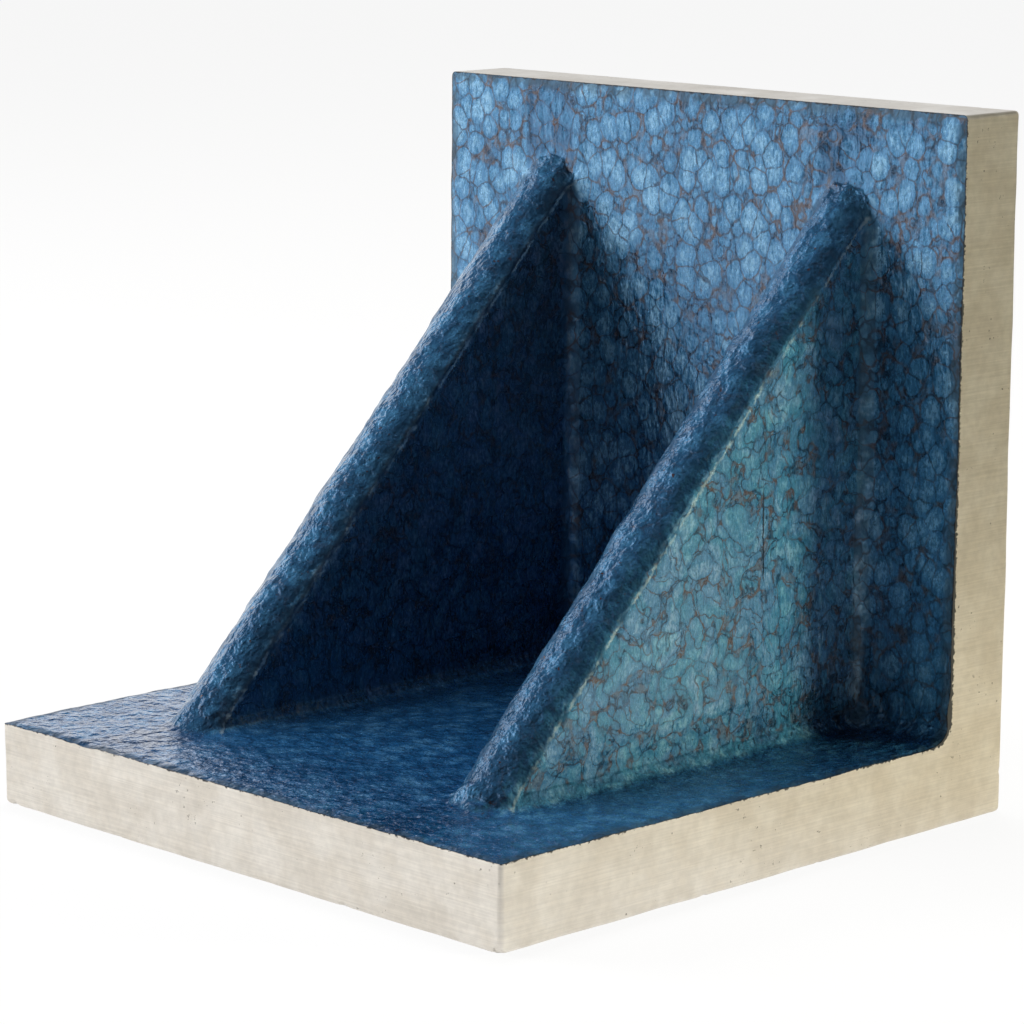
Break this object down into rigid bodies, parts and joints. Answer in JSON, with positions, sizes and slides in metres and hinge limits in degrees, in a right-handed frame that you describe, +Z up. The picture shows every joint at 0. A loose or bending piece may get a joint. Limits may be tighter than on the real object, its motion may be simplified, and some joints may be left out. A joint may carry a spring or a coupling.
{
  "type": "angle plate",
  "caption": "Right-angle workholding plate: a base slab and an upright slab cast in one, ground on the outside and braced across the inside corner by triangular webs with rounded crests.",
  "frame": {"origin": "middle of the footprint, on the ground bottom face of the base", "axes": "+Z up along the upright, +Y out of the ground working face of the upright, X across the width"},
  "size_m": [0.1524, 0.15, 0.15],
  "materials": {
    "casting": "blue hammer-finish enamel on the cast faces inside the corner, bare ground iron on every outer face"
  },
  "bodies": {
    "root": {"angle_plate": "casting"}
  },
  "joints": []
}
